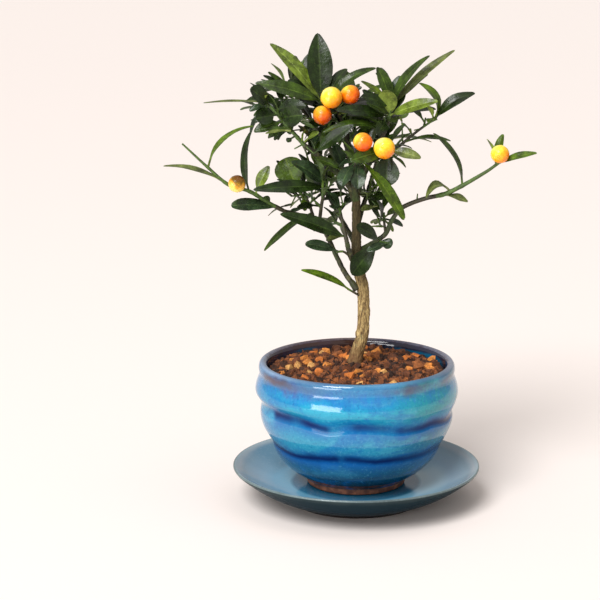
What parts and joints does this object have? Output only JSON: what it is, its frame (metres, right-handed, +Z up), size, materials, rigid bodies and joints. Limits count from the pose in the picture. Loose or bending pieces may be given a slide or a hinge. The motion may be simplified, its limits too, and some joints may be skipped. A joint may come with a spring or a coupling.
{
  "type": "potted kumquat bonsai",
  "caption": "Small Hong Kong kumquat bonsai with glossy leaves and little orange fruit, in a round blue glazed bowl filled with grainy soil, standing on a shallow blue glazed saucer.",
  "frame": {"origin": "middle of the saucer's flat underside, on the surface that the plant stands on", "axes": "+Z up; +X to the right as the tree is shown, along the long fruiting bough; +Y away, behind the tree"},
  "size_m": [0.2097, 0.1444, 0.2709],
  "materials": {
    "saucer_glaze": "grey-blue glaze, glossy, brown where it thins at the rim",
    "bowl_glaze": "streaky turquoise to deep blue glaze, glossy, with a bare red-brown foot",
    "soil": "loose baked-clay grains, matt",
    "bark": "tan bark, finely furrowed along the trunk",
    "young_bark": "olive green-brown bark of the boughs",
    "foliage": "glossy dark green leaves on green twigs, with orange fruit"
  },
  "bodies": {
    "root": {"saucer": "saucer_glaze", "bowl": "bowl_glaze", "soil": "soil", "trunk": "bark", "bough_low_left": "young_bark", "bough_left_arm": "young_bark", "bough_inner_left": "young_bark", "bough_right": "young_bark", "bough_leader": "young_bark", "bough_upper_left": "young_bark", "bough_upper_right": "young_bark", "bough_far_right": "young_bark", "bough_front": "young_bark", "bough_back": "young_bark", "bough_back_left": "young_bark", "bough_back_right": "young_bark", "bough_back_low": "young_bark", "foliage_top": "foliage", "foliage_upper_left": "foliage", "foliage_upper_right": "foliage", "foliage_far_right": "foliage", "foliage_front": "foliage", "foliage_left": "foliage", "foliage_left_inner": "foliage", "foliage_left_arm": "foliage", "foliage_low_left": "foliage", "foliage_low_front": "foliage", "foliage_lowest": "foliage", "foliage_right_arm": "foliage", "foliage_low_right": "foliage", "foliage_right_front": "foliage", "foliage_trunk_right": "foliage", "foliage_back": "foliage", "foliage_back_left": "foliage", "foliage_back_right": "foliage", "foliage_back_low": "foliage"}
  },
  "joints": []
}
